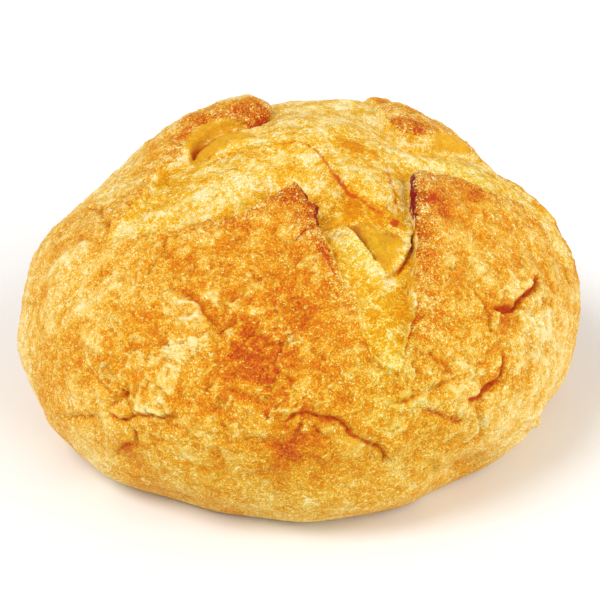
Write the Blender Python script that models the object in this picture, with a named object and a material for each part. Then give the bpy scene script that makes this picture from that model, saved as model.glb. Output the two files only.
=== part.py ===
"""Round olive oil bread loaf, cut crosswise on top before baking, as one closed solid on its flat sole.

Metres, +Z up. The front of the loaf faces -Y. The origin is on the sole, under the middle of the loaf.
Places on the crust are written on the loaf's plan: a flat map whose middle is the top of the loaf and
whose radius is the length walked over the plain dome, so (0.03, -0.04) lies 50 mm down the crust.
"""

import itertools
import math

import bmesh
import bpy
import numpy as np

NODE = "loaf"

# Driving sizes of the plain loaf, before it is cut and puffed.
WIDTH = 0.1890
DEPTH = 0.1730
HEIGHT = 0.0925
WIDEST_AT = 0.034
SOLE_SHARE = 0.75  # the sole's width as a share of the loaf's
SHOULDER = 0.95  # below 1 the dome has fuller shoulders than an ellipse
MIDDLE = (0.0007, 0.0005)  # moves the finished loaf so that its box stands centred on the origin

# The grid of faces: a ball's, drawn together on the crown where the cuts are.
CELLS = 28
CLOSE_UP = 0.52
CROWN_SIDE = (0.10, -0.30, 0.95)
SOLE_TURN = math.radians(140)  # the turn from the top of the ball that becomes the sole's rim

# Relief dies out over this length before the sole's rim.
RIM_FADE = 0.020

# The four crust panels that the cross cut leaves. Each row is a point of the panel's edge on the plan:
# x, y, height of the raised lip, depth of the cut beside it, and how far in from the edge the lip is highest.
FRONT_PANEL = [
    (-0.0635, -0.0245, 0.0000, 0.0003, 0.002),
    (-0.0560, -0.0280, 0.0003, 0.0008, 0.002),
    (-0.0480, -0.0290, 0.0005, 0.0012, 0.002),
    (-0.0400, -0.0290, 0.0008, 0.0018, 0.002),
    (-0.0320, -0.0285, 0.0012, 0.0026, 0.002),
    (-0.0235, -0.0285, 0.0022, 0.0036, 0.002),
    (-0.0155, -0.0270, 0.0032, 0.0045, 0.002),
    (-0.0100, -0.0245, 0.0038, 0.0050, 0.002),
    (-0.0050, -0.0200, 0.0046, 0.0055, 0.002),
    (-0.0005, -0.0165, 0.0054, 0.0060, 0.002),
    (0.0030, -0.0225, 0.0056, 0.0062, 0.002),
    (0.0060, -0.0285, 0.0050, 0.0060, 0.002),
    (0.0065, -0.0355, 0.0040, 0.0050, 0.002),
    (0.0095, -0.0430, 0.0030, 0.0036, 0.003),
    (0.0125, -0.0520, 0.0020, 0.0026, 0.003),
    (0.0165, -0.0620, 0.0010, 0.0018, 0.003),
    (0.0205, -0.0725, 0.0005, 0.0014, 0.003),
    (0.0255, -0.0810, 0.0003, 0.0010, 0.003),
    (0.0310, -0.0865, 0.0000, 0.0005, 0.003),
]
RIGHT_PANEL = [
    (0.0355, -0.0845, 0.0000, 0.0005, 0.002),
    (0.0365, -0.0765, 0.0008, 0.0016, 0.002),
    (0.0380, -0.0685, 0.0014, 0.0024, 0.002),
    (0.0385, -0.0605, 0.0018, 0.0030, 0.002),
    (0.0385, -0.0530, 0.0022, 0.0036, 0.002),
    (0.0375, -0.0445, 0.0030, 0.0050, 0.002),
    (0.0375, -0.0370, 0.0036, 0.0060, 0.002),
    (0.0365, -0.0295, 0.0044, 0.0062, 0.002),
    (0.0355, -0.0215, 0.0046, 0.0060, 0.002),
    (0.0360, -0.0120, 0.0046, 0.0058, 0.002),
    (0.0370, -0.0010, 0.0038, 0.0052, 0.002),
    (0.0430, 0.0060, 0.0026, 0.0038, 0.002),
    (0.0505, 0.0100, 0.0016, 0.0028, 0.002),
    (0.0570, 0.0105, 0.0012, 0.0024, 0.002),
    (0.0620, 0.0080, 0.0010, 0.0022, 0.002),
    (0.0675, 0.0050, 0.0009, 0.0020, 0.002),
    (0.0745, 0.0025, 0.0008, 0.0018, 0.002),
    (0.0815, -0.0020, 0.0006, 0.0015, 0.002),
    (0.0890, -0.0060, 0.0004, 0.0012, 0.002),
    (0.0970, -0.0080, 0.0002, 0.0008, 0.002),
]
BACK_RIGHT_PANEL = [
    (0.1060, 0.0050, 0.0000, 0.0004, 0.002),
    (0.1000, 0.0230, 0.0004, 0.0010, 0.002),
    (0.0900, 0.0370, 0.0008, 0.0016, 0.003),
    (0.0800, 0.0450, 0.0012, 0.0020, 0.003),
    (0.0700, 0.0480, 0.0016, 0.0026, 0.003),
    (0.0620, 0.0460, 0.0022, 0.0030, 0.003),
    (0.0550, 0.0410, 0.0026, 0.0032, 0.003),
    (0.0480, 0.0360, 0.0028, 0.0034, 0.003),
    (0.0415, 0.0320, 0.0034, 0.0040, 0.003),
    (0.0360, 0.0320, 0.0042, 0.0046, 0.003),
    (0.0320, 0.0380, 0.0042, 0.0046, 0.003),
    (0.0295, 0.0460, 0.0034, 0.0040, 0.003),
    (0.0270, 0.0560, 0.0028, 0.0034, 0.004),
    (0.0240, 0.0680, 0.0020, 0.0030, 0.004),
    (0.0190, 0.0820, 0.0012, 0.0022, 0.003),
    (0.0140, 0.0950, 0.0004, 0.0012, 0.002),
]
BACK_LEFT_PANEL = [
    (0.0060, 0.1030, 0.0000, 0.0005, 0.002),
    (-0.0020, 0.0910, 0.0010, 0.0016, 0.004),
    (-0.0070, 0.0760, 0.0030, 0.0028, 0.006),
    (-0.0095, 0.0620, 0.0046, 0.0036, 0.008),
    (-0.0115, 0.0520, 0.0052, 0.0042, 0.009),
    (-0.0155, 0.0480, 0.0054, 0.0050, 0.010),
    (-0.0215, 0.0470, 0.0052, 0.0052, 0.010),
    (-0.0270, 0.0445, 0.0048, 0.0050, 0.009),
    (-0.0315, 0.0385, 0.0042, 0.0046, 0.007),
    (-0.0350, 0.0300, 0.0030, 0.0038, 0.005),
    (-0.0380, 0.0210, 0.0018, 0.0026, 0.003),
    (-0.0425, 0.0120, 0.0012, 0.0020, 0.002),
    (-0.0470, 0.0035, 0.0009, 0.0018, 0.002),
    (-0.0510, -0.0045, 0.0008, 0.0017, 0.002),
    (-0.0545, -0.0120, 0.0007, 0.0016, 0.002),
    (-0.0580, -0.0185, 0.0005, 0.0014, 0.002),
]
LIP_START = 0.45  # the lip's height at its very edge, as a share of its highest
LIP_TAIL = 0.012
CUT_WALL = 0.0040
CUT_REACH = 0.010

# Broad swellings and hollows: x, y, radius, height.
SWELLINGS = {
    "crown_mound": (0.008, 0.028, 0.028, 0.0058),
    "crown_back": (0.008, 0.068, 0.024, 0.0070),
    "crown_front": (0.022, -0.010, 0.013, 0.0030),
    "back_left_roll": (-0.030, 0.064, 0.020, 0.0016),
    "back_right_roll": (0.044, 0.060, 0.020, 0.0036),
    "right_shoulder": (0.096, 0.028, 0.022, 0.0020),
    "left_shoulder": (-0.084, 0.036, 0.022, -0.0042),
    "left_side": (-0.106, 0.016, 0.016, 0.0012),
    "left_sag": (-0.126, -0.026, 0.022, 0.0022),
    "left_corner": (-0.118, -0.088, 0.020, 0.0014),
    "left_foot": (-0.082, -0.130, 0.024, -0.0018),
    "front_foot": (0.004, -0.156, 0.050, -0.0008),
    "right_foot": (0.100, -0.116, 0.034, -0.0056),
    "right_tuck": (0.126, -0.052, 0.028, -0.0034),
}

# Folds of the burst dough between the panels. Each row is x, y and the height of the step there.
# The dough is higher on the right of the line as it is walked.
FOLDS = {
    "tongue_front": [
        (0.0315, -0.0320, 0.0006),
        (0.0275, -0.0275, 0.0030),
        (0.0225, -0.0240, 0.0036),
        (0.0180, -0.0200, 0.0032),
        (0.0135, -0.0135, 0.0026),
        (0.0100, -0.0045, 0.0018),
        (0.0060, 0.0060, 0.0006),
    ],
    "torn_strip": [
        (0.0135, -0.0335, 0.0008),
        (0.0165, -0.0370, 0.0034),
        (0.0185, -0.0415, 0.0042),
        (0.0210, -0.0460, 0.0040),
        (0.0240, -0.0510, 0.0036),
        (0.0280, -0.0565, 0.0010),
    ],
    "pocket_rim": [
        (0.0345, -0.0280, 0.0010),
        (0.0342, -0.0370, 0.0034),
        (0.0325, -0.0440, 0.0042),
        (0.0300, -0.0500, 0.0036),
        (0.0270, -0.0550, 0.0014),
    ],
    "under_layer": [
        (-0.0045, 0.0135, 0.0003),
        (-0.0120, 0.0125, 0.0009),
        (-0.0185, 0.0135, 0.0010),
        (-0.0240, 0.0115, 0.0012),
        (-0.0285, 0.0080, 0.0012),
        (-0.0325, 0.0070, 0.0003),
    ],
}
FOLD_EDGE = 0.0016
FOLD_REACH = 0.0065
FOLD_ENDS = 0.08
EDGE_PULL = 0.0032  # corners of the grid closer to a panel's edge than this are drawn towards it
BLEND = 0.0020  # what a line carries is evened out over about this length

# Creases pinched into the crust while it rose: depth, width, and the line's points.
CREASES = {
    "left_shoulder": (0.0020, 0.0022, [(-0.0735, 0.0105), (-0.0655, -0.0100), (-0.0610, -0.0250)]),
    "left_fold": (
        0.0017,
        0.0020,
        [(-0.0435, -0.0495), (-0.0370, -0.0580), (-0.0310, -0.0655), (-0.0255, -0.0740)],
    ),
    "belly": (
        0.0024,
        0.0020,
        [(-0.0055, -0.1045), (0.0005, -0.1015), (0.0145, -0.1040), (0.0215, -0.1095), (0.0315, -0.1120)],
    ),
    "low_left": (0.0014, 0.0022, [(-0.0780, -0.0840), (-0.0690, -0.0925), (-0.0550, -0.0955), (-0.0420, -0.1010)]),
    "right_fork": (0.0018, 0.0020, [(0.0555, -0.0505), (0.0635, -0.0525), (0.0655, -0.0605), (0.0680, -0.0635)]),
    "right_cheek": (0.0026, 0.0020, [(0.0665, -0.0540), (0.0745, -0.0485), (0.0785, -0.0400), (0.0835, -0.0295)]),
    "right_low": (0.0020, 0.0022, [(0.0730, -0.0645), (0.0740, -0.0755), (0.0685, -0.0830), (0.0625, -0.0885)]),
}
CREASE_PUFF = 0.45  # the crust swells beside a crease by this share of its depth
CREASE_PUFF_WIDTH = 3.2

# Puffed unevenness of the whole crust: size of the puffs, height, seed.
PUFFS = [(0.046, 0.0020, 3), (0.021, 0.0011, 8)]

CRUST_COLOUR = (0.80, 0.42, 0.09, 1.0)
CRUST_ROUGHNESS = 0.55


def smooth(low, high, value):
    """0 below low, 1 above high, and an S curve between them."""
    share = np.clip((value - low) / (high - low), 0, 1)
    return share * share * (3 - 2 * share)


def side_view(count=400):
    """The plain loaf's side from the top's middle over the dome, the tucked flank and the sole to its middle.

    Returns the length walked and the radius and height there, for a loaf that is WIDTH across."""
    turn = np.linspace(0, np.pi / 2, count)
    half = WIDTH / 2
    sole = half * SOLE_SHARE
    dome = [half * np.sin(turn), WIDEST_AT + (HEIGHT - WIDEST_AT) * np.cos(turn) ** SHOULDER]
    flank = [sole + (half - sole) * np.cos(turn), WIDEST_AT * (1 - np.sin(turn))]
    bottom = [sole * (1 - turn / turn[-1]), 0 * turn]
    radius, height = np.concatenate([dome, np.array(flank)[:, 1:], np.array(bottom)[:, 1:]], axis=1)
    walked = np.concatenate([[0], np.cumsum(np.hypot(np.diff(radius), np.diff(height)))])
    return walked, radius, height


WALKED, RADIUS, RISE = side_view()
TO_RIM = WALKED[np.argmax(RISE < 1e-9)]


def plain_loaf(plan):
    """Points of the plain loaf at these places of the plan, and its outward directions there."""
    walked = np.hypot(plan[:, 0], plan[:, 1])
    turn = np.arctan2(plan[:, 1], plan[:, 0])
    radius = np.interp(walked, WALKED, RADIUS)
    height = np.interp(walked, WALKED, RISE)
    out = np.interp(walked, WALKED, np.gradient(RADIUS, WALKED))
    down = np.interp(walked, WALKED, np.gradient(RISE, WALKED))
    squeeze = DEPTH / WIDTH
    points = np.stack([radius * np.cos(turn), squeeze * radius * np.sin(turn), height], axis=1)
    normals = np.stack([-down * np.cos(turn) * squeeze, -down * np.sin(turn), out * squeeze], axis=1)
    return points, normals / np.linalg.norm(normals, axis=1, keepdims=True)


def curve_through(rows, closed=False, steps=6):
    """A smooth line through the rows (a Catmull-Rom curve), with every column of a row carried along."""
    rows = np.asarray(rows, float)
    if closed:
        rows = np.concatenate([rows[-1:], rows, rows[:2]])
    else:
        rows = np.concatenate([2 * rows[:1] - rows[1:2], rows, 2 * rows[-1:] - rows[-2:-1]])
    before, start, end, after = rows[:-3], rows[1:-2], rows[2:-1], rows[3:]
    t = np.linspace(0, 1, steps, endpoint=False)[:, None, None]
    line = 2 * start + (end - before) * t
    line = line + (2 * before - 5 * start + 4 * end - after) * t**2
    line = (line + (3 * start - before - 3 * end + after) * t**3) / 2
    return np.concatenate([line.transpose(1, 0, 2).reshape(-1, rows.shape[1]), end[-1:]])


def nearest(plan, line):
    """For each place: its distance to the line, its side (+1 on the left), the nearest point and how
    far along the line it is from 0 to 1, and the line's other columns there, evened out over BLEND."""
    start, step = line[:-1, :2], np.diff(line[:, :2], axis=0)
    length = np.hypot(step[:, 0], step[:, 1])
    walked = np.concatenate([[0], np.cumsum(length)])
    offset = plan[:, None] - start
    share = np.clip((offset * step).sum(axis=2) / length**2, 0, 1)
    gaps = np.linalg.norm(offset - share[:, :, None] * step, axis=2)
    piece = gaps.argmin(axis=1)
    row = np.arange(len(plan))
    gap = gaps[row, piece]
    side = np.sign(step[piece, 0] * offset[row, piece, 1] - step[piece, 1] * offset[row, piece, 0])
    share = share[row, piece]
    point = start[piece] + share[:, None] * step[piece]
    along = (walked[piece] + share * length[piece]) / walked[-1]
    weight = np.exp((gap[:, None] - gaps) / BLEND) * length
    values = weight @ (line[:-1, 2:] + line[1:, 2:]) / 2 / weight.sum(axis=1, keepdims=True)
    return gap, side, point, along, values.T


def inside(plan, line):
    """Whether each place lies inside the closed line, by counting the crossings to its right."""
    found = np.zeros(len(plan), bool)
    for (x0, y0), (x1, y1) in zip(line[:-1, :2], line[1:, :2]):
        if y0 != y1:
            crosses = (y0 > plan[:, 1]) != (y1 > plan[:, 1])
            found ^= crosses & (plan[:, 0] < (x1 - x0) * (plan[:, 1] - y0) / (y1 - y0) + x0)
    return found


def gradient_noise(points, size, seed):
    """Smooth unevenness from about -1 to 1, with hills and hollows of the given size."""
    random = np.random.default_rng(seed)
    table = np.tile(random.permutation(256), 3)
    slopes = np.array([s for s in itertools.product((-1, 0, 1), repeat=3) if np.abs(s).sum() == 2])
    place = points / size + random.uniform(0, 50, 3)
    cell = np.floor(place).astype(int)
    part = place - cell
    cell &= 255
    ease = part**3 * (part * (part * 6 - 15) + 10)
    total = np.zeros(len(points))
    for corner in itertools.product((0, 1), repeat=3):
        x, y, z = (cell + corner).T
        slope = slopes[table[table[table[x] + y] + z] % len(slopes)]
        weight = np.where(corner, ease, 1 - ease).prod(axis=1)
        total += weight * ((part - corner) * slope).sum(axis=1)
    return 1.4 * total


def swell(plan, x, y, radius, height):
    """A round swelling that dies out like a bell curve."""
    return height * np.exp(-((plan[:, 0] - x) ** 2 + (plan[:, 1] - y) ** 2) / radius**2)


def cut_edge():
    """The closed line along the edges of the four panels."""
    return curve_through(FRONT_PANEL + RIGHT_PANEL + BACK_RIGHT_PANEL + BACK_LEFT_PANEL, closed=True)


def drawn_to_edge(plan):
    """The grid's corners near the cut's edge, moved closer to it so that the edge comes out clean."""
    gap, _, point, _, _ = nearest(plan, cut_edge())
    return point + (plan - point) * np.minimum(gap / EDGE_PULL, 1)[:, None]


def cross_cut(plan):
    """The cut's relief: a lip along each panel's edge, a wall down to the cut, and the dough that rises
    again behind it."""
    edge = cut_edge()
    gap, _, _, _, (lip, depth, roll) = nearest(plan, edge)
    rising = LIP_START + (1 - LIP_START) * np.sin(np.pi / 2 * np.clip(gap / roll, 0, 1))
    crust = lip * rising * np.exp(-((np.clip(gap - roll, 0, None) / LIP_TAIL) ** 2))
    wall = smooth(0, CUT_WALL, gap)
    dough = LIP_START * lip * (1 - wall)
    dough = dough - depth * wall * np.exp(-((np.clip(gap - CUT_WALL, 0, None) / CUT_REACH) ** 2))
    return np.where(inside(plan, edge), dough, crust)


def fold(plan, rows):
    """A step in the dough: up on the right of the line, down on its left, level again further off."""
    gap, side, _, along, (step,) = nearest(plan, curve_through(rows))
    step = step * smooth(0, FOLD_ENDS, along) * smooth(0, FOLD_ENDS, 1 - along)
    across = -side * gap
    return step * (smooth(-FOLD_EDGE, FOLD_EDGE, across) - 0.5) * np.exp(-((gap / FOLD_REACH) ** 2))


def crease(plan, depth, width, points):
    """A groove that fades at both ends, with the crust swollen beside it."""
    gap, _, _, along, _ = nearest(plan, curve_through(points))
    fade = smooth(0, 0.2, along) * smooth(0, 0.2, 1 - along)
    groove = np.exp(-((gap / width) ** 2))
    puff = CREASE_PUFF * np.exp(-((gap / (CREASE_PUFF_WIDTH * width)) ** 2))
    return depth * fade * (puff - groove)


def relief(plan, points):
    """How far the baked surface stands out from the plain loaf."""
    height = cross_cut(plan)
    for swelling in SWELLINGS.values():
        height += swell(plan, *swelling)
    for rows in FOLDS.values():
        height += fold(plan, rows)
    for depth, width, line in CREASES.values():
        height += crease(plan, depth, width, line)
    for size, strength, seed in PUFFS:
        height += strength * gradient_noise(points, size, seed)
    return height * smooth(0, RIM_FADE, TO_RIM - np.hypot(plan[:, 0], plan[:, 1]))


def drawn_to_crown(balls):
    """Moves points of a unit ball over it so that they lie closer together on the crown."""
    crown = np.array(CROWN_SIDE) / np.linalg.norm(CROWN_SIDE)
    along = balls @ crown
    across = balls - along[:, None] * crown
    scale = (1 + along) + CLOSE_UP**2 * (1 - along)
    return (((1 + along) - CLOSE_UP**2 * (1 - along))[:, None] * crown + 2 * CLOSE_UP * across) / scale[:, None]


def plan_of(ball):
    """The place on the plan for each point of the unit ball: its turn from the top becomes a walk."""
    turn = np.arccos(np.clip(ball[:, 2], -1, 1))
    walked = np.interp(turn, [0, SOLE_TURN, np.pi], [0, TO_RIM, WALKED[-1]])
    flat = np.hypot(ball[:, 0], ball[:, 1])
    return ball[:, :2] * (walked / np.maximum(flat, 1e-9))[:, None]


def baked(ball):
    """Points of the finished loaf for points of the unit ball."""
    plan = drawn_to_edge(plan_of(ball))
    points, normals = plain_loaf(plan)
    points = points + relief(plan, points)[:, None] * normals
    return points - np.array([*MIDDLE, 0])


def crust_material():
    """Golden baked crust, dull with a little sheen."""
    material = bpy.data.materials.new("baked_crust")
    material.use_nodes = True
    shader = material.node_tree.nodes["Principled BSDF"]
    shader.inputs["Base Color"].default_value = CRUST_COLOUR
    shader.inputs["Roughness"].default_value = CRUST_ROUGHNESS
    shader.inputs["Metallic"].default_value = 0.0
    return material


def make_loaf(collection):
    """A cube with gridded faces is blown up to a ball, and the ball takes the loaf's shape."""
    shape = bmesh.new()
    bmesh.ops.create_cube(shape, size=2)
    bmesh.ops.subdivide_edges(shape, edges=shape.edges, cuts=CELLS - 1, use_grid_fill=True)
    cube = np.array([corner.co for corner in shape.verts])
    ball = np.tan(cube * np.pi / 4)  # evens out the cells
    ball /= np.linalg.norm(ball, axis=1, keepdims=True)
    for corner, point in zip(shape.verts, baked(drawn_to_crown(ball))):
        corner.co = point
    bmesh.ops.recalc_face_normals(shape, faces=shape.faces)
    mesh = bpy.data.meshes.new(NODE)
    shape.to_mesh(mesh)
    shape.free()
    mesh.shade_smooth()
    mesh.materials.append(crust_material())
    collection.objects.link(bpy.data.objects.new(NODE, mesh))


def main():
    for thing in list(bpy.data.objects):
        bpy.data.objects.remove(thing)
    loaf = bpy.data.collections.new("olive_oil_bread_loaf")
    bpy.context.scene.collection.children.link(loaf)
    make_loaf(loaf)


if __name__ == "__main__":
    main()
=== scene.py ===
"""Olive oil bread loaf: the finely modelled crust, its colours and a studio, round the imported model."""

import itertools
import math

import bpy
import numpy as np
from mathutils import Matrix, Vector


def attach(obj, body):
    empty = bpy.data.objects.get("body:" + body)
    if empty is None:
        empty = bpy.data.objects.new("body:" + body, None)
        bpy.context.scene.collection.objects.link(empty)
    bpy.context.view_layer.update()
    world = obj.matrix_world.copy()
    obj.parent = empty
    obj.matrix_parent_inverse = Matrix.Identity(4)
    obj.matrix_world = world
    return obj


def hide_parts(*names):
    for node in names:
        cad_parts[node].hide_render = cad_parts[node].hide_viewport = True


bl_info = {
    "name": "Olive oil bread loaf",
    "version": (1, 0, 0),
    "blender": (4, 5, 0),
    "location": "3D View > Sidebar > Bread",
    "description": "A round loaf, cut crosswise and baked until its crust lifts, in a plain studio",
    "category": "Add Mesh",
}

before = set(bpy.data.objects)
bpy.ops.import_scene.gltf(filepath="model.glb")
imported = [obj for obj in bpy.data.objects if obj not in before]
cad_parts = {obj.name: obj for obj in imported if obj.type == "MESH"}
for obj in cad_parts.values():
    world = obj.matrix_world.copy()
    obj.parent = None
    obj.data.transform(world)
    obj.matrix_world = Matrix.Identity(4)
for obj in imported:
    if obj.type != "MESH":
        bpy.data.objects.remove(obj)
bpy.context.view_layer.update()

NODE = "loaf"
PIECE = "loaf_crust"

# The middle of the plain loaf, so that the finished one stands centred on the origin.
MIDDLE = (0.7, 0.5, 0)

# The grid of faces: a ball's, drawn together on the crown where the cuts are.
CELLS = 128
CLOSE_UP = 0.55
CROWN_SIDE = (0.08, -0.55, 0.83)
SOLE_TURN = math.radians(140)  # the turn from the top of the ball that becomes the sole's rim
RIM_FADE = 20  # relief dies out over this length before the sole's rim
BLOCK = 4000  # points that are measured against a line at one time
MM = 0.001

# Every place below is on the loaf's plan: a flat map whose middle is the top of the loaf and whose radius
# is the length walked over the plain dome. The tables are in millimetres, x to the right and y to the back.

# The four crust panels that the cross cut leaves. Each row is a point of the panel's edge: x, y, height of
# the raised lip, depth of the cut beside it, how far in from the edge the lip is highest, how wide the bare
# dough is on its face (below zero, the crust wraps over the edge onto the cut's wall), and how burnt the
# edge is, from 0 to 1.
FRONT_PANEL = [
    (-63.5, -24.5, 0, 0.3, 2, 0, 0), (-56, -28, 0.3, 0.8, 2, 0, 0), (-48, -29, 0.5, 1.2, 2, 0, 0),
    (-40, -29, 0.8, 1.8, 2, 0, 0), (-32, -28.5, 1.2, 2.6, 2, 0, 0), (-23.5, -28.5, 2.2, 3.6, 2, 0, 0),
    (-15.5, -27, 3.2, 4.5, 2, 0, 0.1), (-10, -24.5, 3.8, 5, 2, 0, 0.2), (-5, -20.5, 4.6, 5.5, 2, 0, 0.5),
    (-0.8, -17.4, 5.4, 6, 2, 0, 0.8), (1.4, -22, 5.6, 6.2, 2, 0, 0.8), (3.4, -26, 5.4, 6.2, 2, 0, 0.9),
    (5.9, -27.8, 5.2, 6, 2, 0, 0.9), (4.7, -30.8, 4.8, 5.8, 2, 0, 0.8), (4.9, -34.5, 4.2, 5.2, 2, 0, 0.6),
    (7.6, -39.5, 3.4, 4.2, 3, 0, 0.3), (10.2, -45.5, 2.6, 3.2, 3, 0, 0.2), (12.6, -51, 2, 2.6, 3, 0, 0.2),
    (15.2, -57, 1.6, 2, 3, 0, 0.2), (17.8, -64, 1, 1.7, 3, 0, 0.1), (20.8, -73, 0.5, 1.4, 3, 0, 0.1),
    (25.5, -81, 0.3, 1, 3, 0, 0), (31, -86.5, 0, 0.5, 3, 0, 0),
]
RIGHT_PANEL = [
    (35.8, -84.5, 0, 0.5, 2, 0, 0.1), (37, -78, 0.8, 1.6, 2, 0, 0.2), (38.7, -72, 1.4, 2.4, 2, 0, 0.3),
    (40.2, -67.5, 1.6, 2.6, 2, 0, 0.3), (40.7, -62.5, 1.7, 2.8, 2, 0, 0.2),
    (40, -58.5, 1.8, 3, 2, 0, 0.2), (39.4, -54, 2, 3.2, 2, 0, 0.3), (39.8, -49, 2.4, 2.4, 2, 0, 0.3),
    (39.4, -43, 2.8, 2.5, 2, 0, 0.2), (39, -37, 3.2, 2.7, 2, 0, 0.2), (39, -30.5, 3.6, 3, 2, 0, 0.4),
    (38.4, -24.5, 4.2, 4.2, 2, 0, 0.7), (38.2, -19, 4.6, 4, 2, 0, 1), (38.4, -13, 4.8, 3.8, 2, 0, 1),
    (38, -7, 4.8, 3.6, 2, 0, 1), (37.4, -2.4, 4.6, 3.4, 2, 0, 1), (38.2, -0.4, 4.2, 3.4, 2, 0, 0.8),
    (41.6, 0, 3.4, 3.4, 2, 0, 0.3), (45.5, 1, 2.6, 3.8, 2, 0, 0.2), (50, 5, 2, 3.2, 2, 0, 0.1),
    (55.5, 7, 1.5, 2.6, 2, 0, 0.1), (61, 5.5, 1.1, 2.2, 2, 0, 0), (66.5, 5.5, 0.9, 2, 2, 0, 0),
    (72.5, 9, 0.8, 1.8, 2, 0, 0), (78.5, 11, 0.7, 1.6, 2, 0, 0), (84, 8.5, 0.6, 1.4, 2, 0, 0),
    (90, 4, 0.4, 1.2, 2, 0, 0), (98, -2.5, 0.2, 0.8, 2, 0, 0),
]
BACK_RIGHT_PANEL = [
    (106, 6, 0, 0.4, 2, 0, 0), (100, 23, 0.4, 1, 2, 0, 0), (90, 37, 0.8, 1.6, 3, 0, 0),
    (80, 44, 1, 1.8, 3, 0, 0), (70, 46.5, 1.2, 2.2, 3, 0, 0), (63, 44.5, 1.4, 2.4, 3, 1, 0),
    (57, 40.5, 1.8, 2.8, 4, 2, 0), (51.5, 36.5, 2.2, 3, 5, 3, 0), (46.5, 33, 2.8, 3.4, 5, 2, 0),
    (42, 30.6, 3.4, 3.8, 5, 0, 0.1), (38, 29.6, 3.8, 4.2, 5, 0, 0.2), (34.6, 31, 3.6, 4, 5, 0, 0.3),
    (31.6, 35, 3, 3.2, 5, 0, 0.3), (29.6, 41, 2.4, 2.4, 6, 0, 0.1), (27.6, 50, 2, 1.8, 6, 0, 0),
    (24.6, 62, 1.5, 1.6, 6, 0, 0), (20, 80, 0.9, 1.6, 4, 0, 0), (14, 95, 0.3, 1, 2, 0, 0),
]
BACK_LEFT_PANEL = [
    (6, 103, 0, 0.3, 2, 0, 0), (-3, 92, 1.2, 0.5, 2, 0, 0), (-9, 80, 1.6, 0.7, 2, 0, 0),
    (-13.5, 68, 2.2, 0.8, 2, 0, 0), (-15, 58, 2.8, 1, 3, 0, 0.1), (-13.6, 49, 3.3, 1.2, 4, -1, 0.2),
    (-10.8, 43, 3.9, 1.4, 5, -2.4, 0.3), (-10.2, 37.5, 4.4, 1.6, 6, -2.6, 0.3),
    (-13.4, 34, 4.4, 1.6, 7, -2.6, 0.1), (-18.5, 33.6, 4.4, 1.8, 8, -1.6, 0),
    (-24, 35.4, 4.4, 2, 8, 0.8, 0), (-29.4, 35.4, 4.2, 2.4, 8, 2.4, 0),
    (-33.6, 30.4, 3.8, 2.6, 7, 2.4, 0), (-37.4, 22.8, 2.8, 2.6, 5, 1.6, 0),
    (-39.2, 18, 1.8, 2.4, 3, 0.5, 0), (-42, 16.6, 1.4, 2.2, 2, 0, 0), (-46, 14.6, 1.2, 2, 2, 0, 0.1),
    (-49.6, 8, 1, 1.9, 2, 0, 0.1), (-51.4, -1, 0.9, 1.8, 2, 0, 0.1), (-54.2, -8.6, 0.8, 1.6, 2, 0, 0.1),
    (-56.6, -14.4, 0.7, 1.5, 2, 0, 0.1), (-59.4, -19.6, 0.4, 1.2, 2, 0, 0),
]
LIP_START = 0.40  # the lip's height at its very edge, as a share of its highest, where it is short
SHORT_ROLL = 2  # the roll of such a lip
LIP_TAIL = 12
LIP_OVERHANG = 0.35  # how far the lip leans over the cut, as a share of its height
LIP_LEAN = 4
CUT_WALL = 2.4
UNDERCUT = 1.6  # how far the wall drops back under the lip, as a share of the lip's lean
CUT_REACH = 10
EDGE_PULL = 1.2  # corners of the grid closer to a panel's edge than this are drawn towards it
BLEND = 2.0  # what a line carries is evened out over about this length

# Broad swellings and hollows: x, y, radius, height.
SWELLINGS = {
    "crown_mound": (8, 28, 28, 5.8),
    "crown_back": (13.5, 64, 20, 6.9),
    "crown_front": (22, -10, 13, 3.0),
    "back_left_roll": (-27, 52, 18, 4.2),
    "back_right_roll": (45, 55, 18, 4.6),
    "back_right_first": (26, 60, 8, 0.6),
    "back_right_second": (48, 52, 7, 1.0),
    "back_right_side": (84, 44, 10, 1.1),
    "right_rise": (108, 13, 9, 0.9),
    "right_shoulder": (97, 28, 22, 1.9),
    "back_left_first": (-51, 52, 11, 1.1),
    "back_left_tip": (-16, 45, 5, 0.7),
    "left_shoulder": (-80, 40, 26, -5.1),
    "left_side": (-127, -16, 10, 1.4),
    "left_sag": (-130, -51, 10, -1.6),
    "left_notch": (-133, -32, 8, -1.9),
    "left_rise": (-100, 12, 8, 0.6),
    "left_dip": (-82, 23, 8, -0.9),
    "left_low_dip": (-109, -7, 7, -0.8),
    "left_corner": (-104, -110, 18, -0.8),
    "left_foot": (-78, -138, 26, -4.8),
    "front_left_foot": (-33, -159, 20, -3.1),
    "front_foot": (10, -160, 50, -1.7),
    "right_foot": (103, -124, 30, -13.0),
    "right_front_foot": (54, -153, 18, -1.3),
    "right_tuck": (131, -58, 23, -4.3),
    "right_side": (122, -12, 16, -1.3),
    "gold_layer": (-22, 25, 6, 0.9),
    "strip_top": (13.5, -38, 3.5, 0.9),
    "strip_middle": (18, -47, 4.5, 1.2),
    "strip_foot": (22.5, -53, 4, 0.8),
    "olive_lump": (-4.6, -99.2, 3, 0.9),
    "knob": (110.5, -73, 2.4, 2.1),
    "arm_dent": (-47, -10, 4, -1.2),
    "tail_dent": (27.6, -80.5, 3, -0.9),
    "left_dent": (-51.8, -60.4, 3, -1.1),
    "low_left_dent": (-65.5, -88, 5, -1.3),
    "low_left_pad": (-72, -96, 7, 0.8),
    "oval_pad": (-52.5, -87.5, 5, 0.9),
    "right_hollow": (78, -44, 5, -1.2),
    "right_low_hollow": (70, -80, 5, -1.2),
    "right_low_pad": (60, -88, 8, 1.0),
    "right_pad": (56, -62, 11, 1.0),
    "front_pad": (8, -94, 9, 0.8),
    "belly_pad": (14, -111, 9, 1.0),
}

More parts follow.
